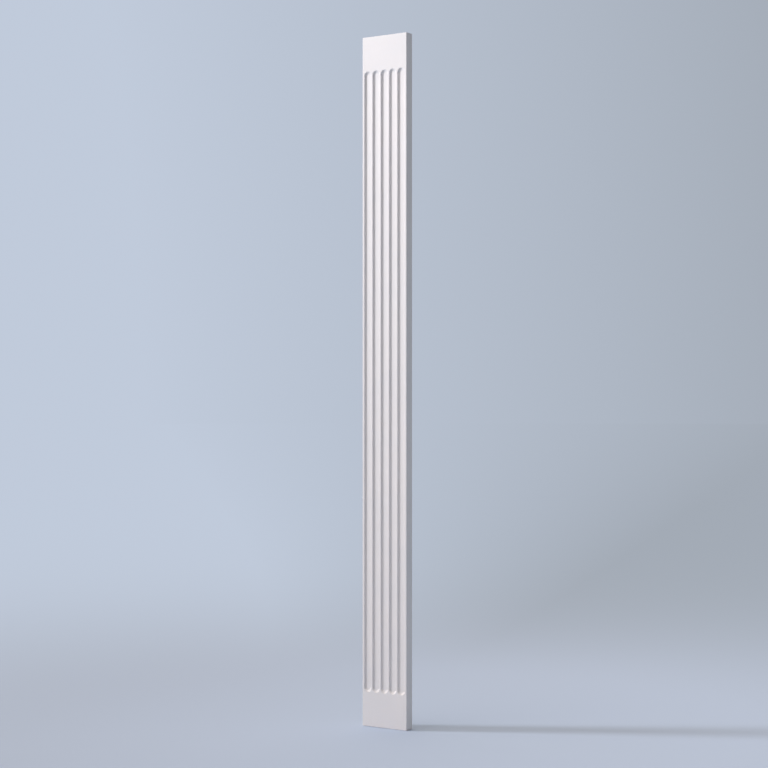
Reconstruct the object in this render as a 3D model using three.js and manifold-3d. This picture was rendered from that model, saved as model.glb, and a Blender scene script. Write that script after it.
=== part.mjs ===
// Fluted pilaster shaft: one moulded strip of rigid polyurethane foam, primed white.
//
// Millimetres, +Z up. The front faces -Y, and the flat back lies in the plane y = 0,
// where it is glued to a wall. The origin is the middle of the back.

import * as THREE from "three";
import { mergeVertices } from "three/addons/utils/BufferGeometryUtils.js";
import Module from "manifold-3d";

// Driving dimensions
const HEIGHT = 2000;
const WIDTH = 152;
const DEPTH = 30;
const EDGE_EASE = 0.6; // radius that rounds the four front edges

const FLUTE_COUNT = 5;
const FLUTE_DEPTH = 4.1; // from the front face down to the flat floor of a flute
const FLOOR_FILLET = 2; // radius where the floor turns up into the flank
const SHOULDER_RADIUS = 0.4; // radius that rounds the flank over into the front face
const FLANK_DRAFT = 8; // lean of the flanks, in degrees, that lets the strip leave its mould
const LAND_WIDTH = 3.5; // flat strip left between two flutes
const SIDE_MARGIN = 5.8; // flat left between an outer flute and the side
const PLAIN_END = 99; // flat left above the flutes' heads and below their feet
const FLOOR_TAIL = 3; // reach of the flat floor past the centre of a half-round end
const END_ROUNDNESS = 0.9; // of the scoop there: 0 is a straight ramp, 1 a single arc

// Smoothness of the curved surfaces
const EASE_STEPS = 3;
const FILLET_STEPS = 4;
const SHOULDER_STEPS = 2;
const END_STEPS = 20; // round the half-circle of a flute's end

// What follows from them
const landsTotal = (FLUTE_COUNT - 1) * LAND_WIDTH;
const fluteWidth = (WIDTH - 2 * SIDE_MARGIN - landsTotal) / FLUTE_COUNT;
const flutePitch = fluteWidth + LAND_WIDTH;
const fluteRadius = fluteWidth / 2; // of the half-round ends, seen from the front
const draftAngle = THREE.MathUtils.degToRad(FLANK_DRAFT);
const edgeRadii = FLOOR_FILLET + SHOULDER_RADIUS;
const flankLean = (FLUTE_DEPTH - edgeRadii) * Math.sin(draftAngle);
const flankRun = (edgeRadii + flankLean) / Math.cos(draftAngle); // from the floor to the face
const floorHalfWidth = fluteRadius - flankRun;
const endCentreHeight = HEIGHT / 2 - PLAIN_END - fluteRadius;
const cutterReach = FLUTE_DEPTH; // how far a flute's cutter stands out of the front

const wasm = await Module();
wasm.setup();

function toSolid(geometry) {
  const bare = geometry.clone();
  bare.deleteAttribute("normal");
  bare.deleteAttribute("uv");
  const merged = mergeVertices(bare);
  return new wasm.Manifold(
    new wasm.Mesh({
      numProp: 3,
      vertProperties: merged.attributes.position.array,
      triVerts: new Uint32Array(merged.index.array),
    }),
  );
}

function toGeometry(solid) {
  const mesh = solid.getMesh();
  const geometry = new THREE.BufferGeometry();
  geometry.setAttribute("position", new THREE.BufferAttribute(mesh.vertProperties, 3));
  geometry.setIndex(new THREE.BufferAttribute(mesh.triVerts, 1));
  geometry.computeVertexNormals();
  return geometry;
}

// The strip before fluting: a slab of twice the depth, eased round both of its faces
// and halved at the wall, which leaves a flat back with square edges.
function blank() {
  const halfWidth = WIDTH / 2 - EDGE_EASE;
  const halfHeight = HEIGHT / 2 - EDGE_EASE;
  const outline = new THREE.Shape([
    new THREE.Vector2(-halfWidth, -halfHeight),
    new THREE.Vector2(halfWidth, -halfHeight),
    new THREE.Vector2(halfWidth, halfHeight),
    new THREE.Vector2(-halfWidth, halfHeight),
  ]);
  const slab = new THREE.ExtrudeGeometry(outline, {
    depth: 2 * (DEPTH - EDGE_EASE),
    bevelSize: EDGE_EASE,
    bevelThickness: EDGE_EASE,
    bevelSegments: EASE_STEPS,
  });
  slab.translate(0, 0, EDGE_EASE - DEPTH);
  slab.rotateX(Math.PI / 2);

  const behindWall = new THREE.BoxGeometry(2 * WIDTH, 2 * DEPTH, 2 * HEIGHT);
  behindWall.translate(0, DEPTH, 0);
  return toSolid(slab).subtract(toSolid(behindWall));
}

// Half of a flute's section, from the edge of its flat floor out to its edge in the front
// face (y = 0): fillet, straight flank and shoulder, which cover the given run together.
// As roundness goes from 0 to 1, the fillet grows until it is a single arc.
function flankSection(run, roundness) {
  const arcRadius = (run ** 2 + FLUTE_DEPTH ** 2) / (2 * FLUTE_DEPTH);
  const slack = arcRadius - edgeRadii;
  const radii = edgeRadii + slack * roundness;
  const flankLength = Math.sqrt(2 * FLUTE_DEPTH * slack * (1 - roundness));
  const turn = Math.atan2(FLUTE_DEPTH - radii, run) + Math.atan2(radii, flankLength);
  const fillet = radii - SHOULDER_RADIUS;

  const points = [];
  for (let step = 0; step <= FILLET_STEPS; step += 1) {
    const angle = (turn * step) / FILLET_STEPS;
    const x = fluteRadius - run + fillet * Math.sin(angle);
    const y = FLUTE_DEPTH - fillet * (1 - Math.cos(angle));
    points.push(new THREE.Vector2(x, y));
  }
  for (let step = SHOULDER_STEPS; step >= 0; step -= 1) {
    const angle = (turn * step) / SHOULDER_STEPS;
    const x = fluteRadius - SHOULDER_RADIUS * Math.sin(angle);
    const y = SHOULDER_RADIUS * (1 - Math.cos(angle));
    points.push(new THREE.Vector2(x, y));
  }
  return points;
}

// The section once round the flute, anticlockwise from the front, as columns of points.
// The flank is steep along the sides. The floor ends in half an ellipse, and round it the
// flank eases into a scoop.
function fluteColumns() {
  const columns = [];
  for (const end of [1, -1]) {
    for (let step = 0; step <= END_STEPS; step += 1) {
      const angle = (Math.PI * step) / END_STEPS;
      const across = end * Math.cos(angle);
      const along = end * Math.sin(angle);
      const acrossFloor = across / floorHalfWidth;
      const floorReach = 1 / Math.hypot(acrossFloor, along / FLOOR_TAIL);
      const roundness = END_ROUNDNESS * Math.abs(along);
      const section = flankSection(fluteRadius - floorReach, roundness);
      section.push(new THREE.Vector2(fluteRadius, -cutterReach));
      columns.push(
        section.map(
          ({ x, y }) => new THREE.Vector3(x * across, y, end * endCentreHeight + x * along),
        ),
      );
    }
  }
  return columns;
}

// What is cut away for one flute, around x = 0 with the front face at y = 0: a wall of
// columns, closed by a flat floor at one end and a flat lid in front of the face.
function fluteCutter() {
  const columns = fluteColumns();
  const rows = columns[0].length;
  const indexOf = (column, row) => (column % columns.length) * rows + row;

  const triangles = [];
  for (let column = 0; column < columns.length; column += 1) {
    for (let row = 0; row < rows - 1; row += 1) {
      const a = indexOf(column, row);
      const b = indexOf(column + 1, row);
      const c = indexOf(column + 1, row + 1);
      const d = indexOf(column, row + 1);
      triangles.push(a, b, c, a, c, d);
    }
  }
  for (const row of [0, rows - 1]) {
    const contour = columns.map((column) => new THREE.Vector2(column[row].x, column[row].z));
    for (const corners of THREE.ShapeUtils.triangulateShape(contour, [])) {
      const [a, b, c] = corners.map((column) => indexOf(column, row));
      triangles.push(...(row === 0 ? [a, c, b] : [a, b, c]));
    }
  }

  const cutter = new THREE.BufferGeometry().setFromPoints(columns.flat());
  cutter.setIndex(triangles);
  return toSolid(cutter);
}

function flutedShaft() {
  const cutter = fluteCutter();
  const firstFlute = (-(FLUTE_COUNT - 1) * flutePitch) / 2;
  let shaft = blank();
  for (let flute = 0; flute < FLUTE_COUNT; flute += 1) {
    const x = firstFlute + flute * flutePitch;
    shaft = shaft.subtract(cutter.translate([x, -DEPTH, 0]));
  }
  return shaft;
}

const primedWhite = new THREE.MeshStandardMaterial({
  color: 0xeceaec,
  roughness: 0.55,
  metalness: 0,
});

const pilaster = new THREE.Group();
const shaft = new THREE.Mesh(toGeometry(flutedShaft()), primedWhite);
shaft.name = "fluted_shaft";
pilaster.add(shaft);

export default pilaster;
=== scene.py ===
"""A fluted pilaster strip, moulded in rigid foam and primed white, on a pale floor.

Metres, +Z up. The fluted front faces -Y and the flat back lies in the plane y = 0.
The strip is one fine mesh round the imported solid, with the same section and outline.
"""

import math

import bmesh
import bpy
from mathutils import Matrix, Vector


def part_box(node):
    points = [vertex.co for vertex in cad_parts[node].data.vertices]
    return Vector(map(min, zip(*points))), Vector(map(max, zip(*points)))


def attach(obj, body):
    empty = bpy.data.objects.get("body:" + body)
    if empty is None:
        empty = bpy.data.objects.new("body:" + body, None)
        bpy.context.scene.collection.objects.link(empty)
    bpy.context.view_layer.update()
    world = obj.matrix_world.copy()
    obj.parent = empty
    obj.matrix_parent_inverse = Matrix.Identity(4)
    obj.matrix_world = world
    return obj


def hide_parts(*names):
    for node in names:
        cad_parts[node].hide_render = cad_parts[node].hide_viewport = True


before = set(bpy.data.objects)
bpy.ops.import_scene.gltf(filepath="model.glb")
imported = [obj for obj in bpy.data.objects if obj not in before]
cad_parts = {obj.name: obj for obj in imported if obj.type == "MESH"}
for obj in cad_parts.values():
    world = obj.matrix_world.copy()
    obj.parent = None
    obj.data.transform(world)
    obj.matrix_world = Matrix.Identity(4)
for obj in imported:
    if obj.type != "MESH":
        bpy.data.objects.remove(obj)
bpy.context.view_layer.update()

MM = 0.001
SAME_PLACE = 0.001 * MM  # nearer than this, two places count as one

# The flutes, as they are cut in the solid
FLUTE_COUNT = 5
FLUTE_DEPTH = 4.1 * MM
FLOOR_FILLET = 2.0 * MM
SHOULDER_RADIUS = 0.4 * MM
FLANK_DRAFT = math.radians(8)
LAND_WIDTH = 3.5 * MM
SIDE_MARGIN = 5.8 * MM
PLAIN_END = 99 * MM
FLOOR_TAIL = 3.0 * MM  # reach of the flat floor past the centre of a half-round end
END_ROUNDNESS = 0.9  # of the scoop there: 0 is a straight ramp, 1 a single arc
EDGE_EASE = 0.6 * MM  # rounds the four front edges
BACK_EASE = 0.4 * MM  # the sanded back's edges are only just broken

# Tones of the backdrop, as seen to the left and to the right
BACKDROP_LEFT = (0.530, 0.595, 0.708, 1)
BACKDROP_RIGHT = (0.365, 0.405, 0.465, 1)
BACKDROP_TURN = (-0.66, -0.33)  # x of the directions in which each of them is reached

# Fineness of the mesh
FILLET_STEPS = 7
SHOULDER_STEPS = 4
EDGE_STEPS = 5
HALF_ROUND_STEPS = 64  # along a flute's half-round end; a multiple of four
RUN_STEPS = 48  # along a flute's straight run

# The strip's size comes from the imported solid
low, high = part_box("fluted_shaft")
WIDTH = high.x - low.x
HEIGHT = high.z - low.z
FACE_Y = low.y  # plane of the front face
BACK_Y = high.y
RIM_X = WIDTH / 2 - EDGE_EASE  # the flat of the front face ends here at the sides
RIM_Z = HEIGHT / 2 - EDGE_EASE  # and here at the head and the foot

# What follows for the flutes
FLUTE_WIDTH = (WIDTH - 2 * SIDE_MARGIN - (FLUTE_COUNT - 1) * LAND_WIDTH) / FLUTE_COUNT
FLUTE_RADIUS = FLUTE_WIDTH / 2
FLUTE_PITCH = FLUTE_WIDTH + LAND_WIDTH
EDGE_RADII = FLOOR_FILLET + SHOULDER_RADIUS
FLANK_LEAN = (FLUTE_DEPTH - EDGE_RADII) * math.sin(FLANK_DRAFT)
FLOOR_HALF_WIDTH = FLUTE_RADIUS - (EDGE_RADII + FLANK_LEAN) / math.cos(FLANK_DRAFT)
END_CENTRE = HEIGHT / 2 - PLAIN_END - FLUTE_RADIUS  # height of the half-rounds' centres


def flute_section(across, along):
    """(distance from the flute's axis, depth) from the middle of the floor to the face.

    The flank is steep where the flute runs straight. The floor ends in half an ellipse,
    and round it the fillet grows and the flank leans back, which makes a scoop.
    """
    floor_reach = 1 / math.hypot(across / FLOOR_HALF_WIDTH, along / FLOOR_TAIL)
    run = FLUTE_RADIUS - floor_reach
    roundness = END_ROUNDNESS * abs(along)
    arc_radius = (run ** 2 + FLUTE_DEPTH ** 2) / (2 * FLUTE_DEPTH)
    slack = arc_radius - EDGE_RADII
    radii = EDGE_RADII + slack * roundness
    flank = math.sqrt(2 * FLUTE_DEPTH * slack * (1 - roundness))
    turn = math.atan2(FLUTE_DEPTH - radii, run) + math.atan2(radii, flank)
    fillet = radii - SHOULDER_RADIUS

    section = [(0.0, FLUTE_DEPTH), (floor_reach / 2, FLUTE_DEPTH)]
    for step in range(FILLET_STEPS + 1):
        angle = turn * step / FILLET_STEPS
        rise = fillet * (1 - math.cos(angle))
        section.append((floor_reach + fillet * math.sin(angle), FLUTE_DEPTH - rise))
    for step in range(SHOULDER_STEPS, -1, -1):
        angle = turn * step / SHOULDER_STEPS
        drop = SHOULDER_RADIUS * (1 - math.cos(angle))
        section.append((FLUTE_RADIUS - SHOULDER_RADIUS * math.sin(angle), drop))
    return section


def flute_stations():
    """Once round a flute: (direction across, direction along, height of the centre)."""
    stations = []
    for end in (1, -1):
        for step in range(HALF_ROUND_STEPS + 1):
            angle = math.pi * step / HALF_ROUND_STEPS
            stations.append((end * math.cos(angle), end * math.sin(angle), end * END_CENTRE))
        for step in range(1, RUN_STEPS):
            centre = end * END_CENTRE * (1 - 2 * step / RUN_STEPS)
            stations.append((-end, 0.0, centre))
    return stations


def flute_rings(bm, x, stations):
    """Closed rings of vertices round the flute at x, from its floor out to the face."""
    columns = []
    for across, along, centre in stations:
        columns.append([
            bm.verts.new((x + radius * across, FACE_Y + depth, centre + radius * along))
            for radius, depth in flute_section(across, along)
        ])
    return [list(ring) for ring in zip(*columns)]


def cell_border(bm, x, left, right, stations):
    """The rectangle of front face round one flute, met by a line from each station."""
    half = FLUTE_PITCH / 2
    border = []
    for across, along, centre in stations:
        reach = half / max(abs(across), abs(along))
        side = (right - x) if across > 0 else (x - left)
        border_x = x + across * reach * side / half
        border.append(bm.verts.new((border_x, FACE_Y, centre + along * reach)))
    return border


def bridge(bm, inner, outer):
    """Quads between two closed rings of as many vertices."""
    for i in range(len(inner)):
        j = (i + 1) % len(inner)
        bm.faces.new((inner[i], inner[j], outer[j], outer[i]))


def flute_cell(bm, x, left, right):
    """A flute, the face round it and the plain face above and below it."""
    stations = flute_stations()
    rings = flute_rings(bm, x, stations)
    rings.append(cell_border(bm, x, left, right, stations))
    for inner, outer in zip(rings, rings[1:]):
        bridge(bm, inner, outer)

    cap = END_CENTRE + FLUTE_PITCH / 2
    for end in (1, -1):
        row = [v for v in rings[-1] if abs(v.co.z - end * cap) < SAME_PLACE]
        rim = [bm.verts.new((v.co.x, FACE_Y, end * RIM_Z)) for v in row]
        for i in range(len(row) - 1):
            bm.faces.new((row[i], row[i + 1], rim[i + 1], rim[i]))


def boundary_ring(bm):
    """The vertices of the mesh's one open edge, in order."""
    edges = [e for e in bm.edges if e.is_boundary]
    first = edges[0]
    ring = [first.verts[0]]
    vertex, edge = first.verts[1], first
    while vertex is not ring[0]:
        ring.append(vertex)
        edge = next(e for e in vertex.link_edges if e.is_boundary and e is not edge)
        vertex = edge.other_vert(vertex)
    return ring


def outline_ring(bm, face_rim, outward, y):
    """The face's rim again, moved outward and back: one ring of the sides and ends."""
    ring = []
    for v in face_rim:
        x, z = v.co.x, v.co.z
        if abs(abs(x) - RIM_X) < SAME_PLACE:
            x += math.copysign(outward, x)
        if abs(abs(z) - RIM_Z) < SAME_PLACE:
            z += math.copysign(outward, z)
        ring.append(bm.verts.new((x, y, z)))
    return ring


def outline_steps():
    """(outward, y) from the rounded front edge, down the side, to the broken back edge."""
    back_cut = 0.3 * BACK_EASE  # how far in the middle of the broken edge lies
    steps = []
    for step in range(1, EDGE_STEPS + 1):
        angle = math.pi / 2 * step / EDGE_STEPS
        steps.append((EDGE_EASE * math.sin(angle), FACE_Y + EDGE_EASE * (1 - math.cos(angle))))
    steps.append((EDGE_EASE, (FACE_Y + BACK_Y) / 2))
    steps.append((EDGE_EASE, BACK_Y - BACK_EASE))
    steps.append((EDGE_EASE - back_cut, BACK_Y - back_cut))
    steps.append((EDGE_EASE - BACK_EASE, BACK_Y))
    return steps


def close_back(bm, ring):
    """The flat back: long quads from side to side, and a fan at the head and the foot."""
    side_x = WIDTH / 2 - BACK_EASE
    right = sorted((v for v in ring if abs(v.co.x - side_x) < SAME_PLACE), key=lambda v: v.co.z)
    left = sorted((v for v in ring if abs(v.co.x + side_x) < SAME_PLACE), key=lambda v: v.co.z)
    for i in range(1, len(right) - 2):
        bm.faces.new((left[i], right[i], right[i + 1], left[i + 1]))
    for end, inner in ((0, 1), (-1, -2)):
        level = right[end].co.z
        row = sorted((v for v in ring if abs(v.co.z - level) < SAME_PLACE), key=lambda v: v.co.x)
        for a, b in zip(row, row[1:]):
            bm.faces.new((left[inner], a, b))
        bm.faces.new((left[inner], right[inner], row[-1]))


def shaft_mesh():
    """The whole strip as one closed mesh."""
    bm = bmesh.new()
    first = -(FLUTE_COUNT - 1) / 2 * FLUTE_PITCH
    for flute in range(FLUTE_COUNT):
        x = first + flute * FLUTE_PITCH
        left = -RIM_X if flute == 0 else x - FLUTE_PITCH / 2
        right = RIM_X if flute == FLUTE_COUNT - 1 else x + FLUTE_PITCH / 2
        flute_cell(bm, x, left, right)
    bmesh.ops.remove_doubles(bm, verts=bm.verts, dist=SAME_PLACE)

    face_rim = boundary_ring(bm)
    ring = face_rim
    for outward, y in outline_steps():
        outer = outline_ring(bm, face_rim, outward, y)
        bridge(bm, ring, outer)
        ring = outer
    close_back(bm, ring)
    bmesh.ops.recalc_face_normals(bm, faces=bm.faces)

    mesh = bpy.data.meshes.new("fluted_shaft_skin")
    bm.to_mesh(mesh)
    bm.free()
    return mesh


class Nodes:
    """A small helper that adds nodes to one material or world and links them."""

    def __init__(self, owner, place):
        self.owner = owner
        owner.use_nodes = True
        self.tree = owner.node_tree
        self.shader = self.tree.nodes.get("Principled BSDF")
        self.place = self.add("ShaderNodeTexCoord").outputs[place]

    def add(self, kind, **inputs):
        """Adds a node; keyword names are its input names with underscores for spaces."""
        node = self.tree.nodes.new(kind)
        for key, value in inputs.items():
            self.put(node.inputs[key.replace("_", " ")], value)
        return node

    def put(self, socket, value):
        """Links an output to a socket, or sets the socket's own value."""
        if isinstance(value, bpy.types.NodeSocket):
            self.tree.links.new(value, socket)
        else:
            socket.default_value = value

    def stretched(self, x, y, z):
        """The place, scaled along each axis."""
        mapping = self.add("ShaderNodeMapping", Vector=self.place)
        mapping.inputs["Scale"].default_value = (x, y, z)
        return mapping.outputs["Vector"]

    def noise(self, scale, detail=2.0, roughness=0.5, place=None):
        """Noise from 0 to 1, with features about 1 / scale across in the place's units."""
        node = self.add("ShaderNodeTexNoise", Scale=scale, Detail=detail, Roughness=roughness)
        self.put(node.inputs["Vector"], place or self.place)
        return node.outputs[0]

    def cells(self, scale):
        """Distance to the nearest middle of a cell, in cells that are 1 / scale metres wide."""
        node = self.add("ShaderNodeTexVoronoi", Scale=scale, Vector=self.place)
        return node.outputs["Distance"]

    def remap(self, value, source, target):
        """Stretches a value from one range to another, clamped."""
        node = self.add("ShaderNodeMapRange")
        for socket, number in zip(node.inputs[:5], (value, *source, *target)):
            self.put(socket, number)
        return node.outputs["Result"]

    def smooth(self, value, start, end):
        """Rises softly from 0 at the start to 1 at the end."""
        node = self.add("ShaderNodeMapRange")
        node.interpolation_type = "SMOOTHSTEP"
        for socket, number in zip(node.inputs[:3], (value, start, end)):
            self.put(socket, number)
        return node.outputs["Result"]

    def axes(self, vector):
        """The x, y and z of a vector."""
        return self.add("ShaderNodeSeparateXYZ", Vector=vector).outputs

    def calc(self, operation, a, b=0.0):
        """One step of arithmetic on numbers."""
        node = self.add("ShaderNodeMath")
        node.operation = operation
        self.put(node.inputs[0], a)
        self.put(node.inputs[1], b)
        return node.outputs["Value"]

    def vector_math(self, operation, a):
        """One step on a vector, such as its length or its direction."""
        node = self.add("ShaderNodeVectorMath")
        node.operation = operation
        self.put(node.inputs[0], a)
        return node.outputs["Value" if operation == "LENGTH" else "Vector"]

    def mix(self, factor, a, b):
        """A colour between a and b; the node's colour sockets come after its others."""
        node = self.add("ShaderNodeMix")
        node.data_type = "RGBA"
        self.put(node.inputs[0], factor)
        self.put(node.inputs[6], a)
        self.put(node.inputs[7], b)
        return node.outputs[2]

    def bump(self, height, distance, normal=None):
        """A bump of that height in metres, on top of an earlier normal."""
        node = self.add("ShaderNodeBump", Height=height, Distance=distance, Strength=1.0)
        if normal is not None:
            self.put(node.inputs["Normal"], normal)
        return node.outputs["Normal"]


def primed_white():
    """Sprayed white primer on a moulded skin: satin, faintly mottled, with orange peel."""
    n = Nodes(bpy.data.materials.new("primed_white"), "Object")
    white = (0.855, 0.830, 0.830, 1)
    cool = (0.826, 0.812, 0.822, 1)
    warm = (0.842, 0.810, 0.790, 1)
    peel_height = 0.09 * MM
    grain_height = 0.015 * MM
    pinhole_depth = 0.1 * MM

    cloud = n.noise(9.0, detail=3.0, roughness=0.55)
    mottle = n.noise(70.0, detail=3.0, roughness=0.6)
    streak = n.noise(1.0, place=n.stretched(260.0, 260.0, 5.0))
    tone = n.mix(n.remap(cloud, (0.40, 0.70), (0.0, 0.80)), white, cool)
    tone = n.mix(n.remap(mottle, (0.52, 0.78), (0.0, 0.45)), tone, warm)
    tone = n.mix(n.remap(streak, (0.50, 0.80), (0.0, 0.30)), tone, cool)
    n.put(n.shader.inputs["Base Color"], tone)
    n.put(n.shader.inputs["Roughness"], n.remap(mottle, (0.3, 0.7), (0.46, 0.60)))

    pinholes = n.remap(n.cells(130.0), (0.02, 0.05), (0.0, 1.0))
    normal = n.bump(n.noise(420.0), peel_height)
    normal = n.bump(n.noise(2600.0, roughness=0.6), grain_height, normal)
    normal = n.bump(pinholes, pinhole_depth, normal)
    n.put(n.shader.inputs["Normal"], normal)
    return n.owner


def sanded_foam():
    """The sanded back: bare cream foam with pores painted darker as painted shade, and sanding
    lines, misted at its rim.
    """
    n = Nodes(bpy.data.materials.new("sanded_foam"), "Object")
    cream = (0.780, 0.735, 0.630, 1)
    pale = (0.830, 0.795, 0.715, 1)
    scuffed = (0.700, 0.655, 0.555, 1)
    # Painted shade: the pores are painted darker where shade falls in them.
    pore_shade = (0.500, 0.440, 0.330, 1)
    primer = (0.840, 0.825, 0.815, 1)
    mist_reach = 7.0 * MM  # how far the primer's mist drifts in from the rim
    pore_depth = 0.2 * MM
    scratch_depth = 0.06 * MM
    belt_depth = 0.1 * MM

    cloud = n.noise(5.0, detail=3.0, place=n.stretched(4.0, 4.0, 1.0))
    belt_marks = n.noise(1.0, place=n.stretched(150.0, 150.0, 2.5))
    fine_lines = n.stretched(1100.0, 1100.0, 20.0)
    scratches = n.noise(1.0, detail=3.0, roughness=0.6, place=fine_lines)
    cells = n.cells(420.0)
    tone = n.mix(n.remap(cloud, (0.35, 0.65), (0.0, 0.50)), cream, pale)
    tone = n.mix(n.remap(belt_marks, (0.50, 0.75), (0.0, 0.45)), tone, scuffed)
    tone = n.mix(n.remap(scratches, (0.55, 0.80), (0.0, 0.50)), tone, pale)
    # Painted shade in the pores, which the bumps below also press in as pits.
    tone = n.mix(n.remap(cells, (0.04, 0.22), (0.8, 0.0)), tone, pore_shade)

    x, _, z = n.axes(n.place)
    side_gap = n.calc("SUBTRACT", WIDTH / 2, n.calc("ABSOLUTE", x))
    end_gap = n.calc("SUBTRACT", HEIGHT / 2, n.calc("ABSOLUTE", z))
    gap = n.calc("MINIMUM", side_gap, end_gap)
    ragged = n.noise(60.0, detail=3.0, roughness=0.6)
    drift = n.remap(ragged, (0.3, 0.7), (0.0, mist_reach))
    mist = n.smooth(n.calc("ADD", gap, drift), 1.6 * mist_reach, 0.3 * mist_reach)
    n.put(n.shader.inputs["Base Color"], n.mix(mist, tone, primer))
    n.put(n.shader.inputs["Roughness"], n.remap(belt_marks, (0.3, 0.7), (0.80, 0.95)))

    normal = n.bump(n.remap(cells, (0.0, 0.25), (0.0, 1.0)), pore_depth)
    normal = n.bump(scratches, scratch_depth, normal)
    normal = n.bump(belt_marks, belt_depth, normal)
    n.put(n.shader.inputs["Normal"], normal)
    return n.owner


def backdrop_tone(n, across):
    """The even pale tone near the horizon, lighter on the left than on the right."""
    return n.mix(n.remap(across, BACKDROP_TURN, (0.0, 1.0)), BACKDROP_LEFT, BACKDROP_RIGHT)


def pale_floor():
    """Smooth pale blue-grey round the strip, darker near its foot as painted shade, that turns
    further off into a painted glow in the backdrop's tone.
    """
    n = Nodes(bpy.data.materials.new("pale_floor"), "Object")
    # Painted shade: the floor is darker round the strip's foot than further off.
    foot_shade_tone = (0.51, 0.61, 0.78, 1)
    outer_tone = (0.62, 0.74, 0.93, 1)
    # Metres from the middle of the strip, which is 1 m above its foot
    foot_distance = 1.0
    outer_distance = 6.0
    fade_start = 1.4
    fade_end = 12.0

    distance = n.vector_math("LENGTH", n.place)
    outer = n.smooth(distance, foot_distance, outer_distance)
    n.put(n.shader.inputs["Base Color"], n.mix(outer, foot_shade_tone, outer_tone))
    n.put(n.shader.inputs["Roughness"], 0.8)
    n.put(n.shader.inputs["Specular IOR Level"], 0.2)

    # Painted glow: further off, the floor glows in the backdrop's tone, lighter on the left,
    # instead of being lit.
    far = n.smooth(n.calc("DIVIDE", 1.0, distance), 1 / fade_start, 1 / fade_end)
    across = n.axes(n.vector_math("NORMALIZE", n.place))[0]
    painted_glow = n.add("ShaderNodeEmission", Color=backdrop_tone(n, across), Strength=1.0)
    blend = n.add("ShaderNodeMixShader")
    n.put(blend.inputs[0], far)
    n.put(blend.inputs[1], n.shader.outputs["BSDF"])
    n.put(blend.inputs[2], painted_glow.outputs["Emission"])
    n.put(n.tree.nodes["Material Output"].inputs["Surface"], blend.outputs["Shader"])
    return n.owner


def link(thing):
    """Puts an object in the scene."""
    bpy.context.scene.collection.objects.link(thing)
    return thing


def build_shaft():
    """The strip, in primer everywhere but on its sanded back."""
    mesh = shaft_mesh()
    mesh.materials.append(primed_white())
    mesh.materials.append(sanded_foam())
    for polygon in mesh.polygons:
        polygon.use_smooth = True
        faces_the_wall = polygon.normal.y > 0.99
        if faces_the_wall:
            polygon.material_index = 1
    shaft = link(bpy.data.objects.new("fluted_shaft_skin", mesh))
    flats = shaft.modifiers.new("flats stay flat", "WEIGHTED_NORMAL")
    flats.weight = 100
    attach(shaft, "root")
    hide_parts("fluted_shaft")


def build_floor():
    """A wide round floor just under the foot."""
    floor_radius = 60.0
    floor_gap = 0.5 * MM
    bm = bmesh.new()
    bmesh.ops.create_circle(bm, cap_ends=True, segments=96, radius=floor_radius)
    bmesh.ops.translate(bm, verts=bm.verts, vec=(0, 0, low.z - floor_gap))
    mesh = bpy.data.meshes.new("floor")
    bm.to_mesh(mesh)
    bm.free()
    mesh.materials.append(pale_floor())
    link(bpy.data.objects.new("floor", mesh))


def aim(thing, direction):
    """Points a camera or a light along a direction."""
    thing.rotation_mode = "QUATERNION"
    thing.rotation_quaternion = Vector(direction).to_track_quat("-Z", "Y")


def build_camera():
    """The photograph's view: from the right, at mid-height, through a long lens."""
    yaw = math.radians(33.749)
    pitch = math.radians(0.405)
    camera = link(bpy.data.objects.new("camera", bpy.data.cameras.new("camera")))
    camera.location = (2.9063, -4.3815, -0.0452)
    camera.data.lens = 85
    level = math.cos(pitch)
    aim(camera, (-math.sin(yaw) * level, math.cos(yaw) * level, math.sin(pitch)))
    bpy.context.scene.camera = camera


def build_key():
    """A large soft lamp far off to the upper left, brightest on the head of the strip."""
    lamp = bpy.data.lights.new("key", "SPOT")
    lamp.energy = 6640
    lamp.color = (0.985, 0.972, 1.0)
    lamp.shadow_soft_size = 0.95
    lamp.spot_size = math.radians(50)
    lamp.spot_blend = 1.0
    key = link(bpy.data.objects.new("key", lamp))
    key.location = (-9.5, -5.4, 5.2)
    aim_point = Vector((0.0, 0.0, 3.14))
    aim(key, aim_point - key.location)


def build_world():
    """A pale band round the horizon, under a sky that is bright overhead and to the left."""
    n = Nodes(bpy.data.worlds.new("world"), "Generated")
    left_front = (1.20, 0.99, 0.82, 1)
    left_behind = (0.84, 0.72, 0.61, 1)
    right = (0.06, 0.04, 0.02, 1)
    overhead = (1.35, 1.31, 1.27, 1)

    x, y, z = n.axes(n.place)
    left = n.mix(n.smooth(y, 0.4, -0.4), left_behind, left_front)
    sides = n.mix(n.smooth(x, -0.5, 0.5), left, right)
    sky = n.mix(n.smooth(z, 0.21, 0.33), backdrop_tone(n, x), sides)
    sky = n.mix(n.smooth(z, 0.80, 0.93), sky, overhead)
    n.put(n.tree.nodes["Background"].inputs["Color"], sky)
    bpy.context.scene.world = n.owner


build_shaft()
build_floor()
build_camera()
build_key()
build_world()
bpy.context.scene.view_settings.view_transform = "Standard"
bpy.context.scene.view_settings.look = "None"
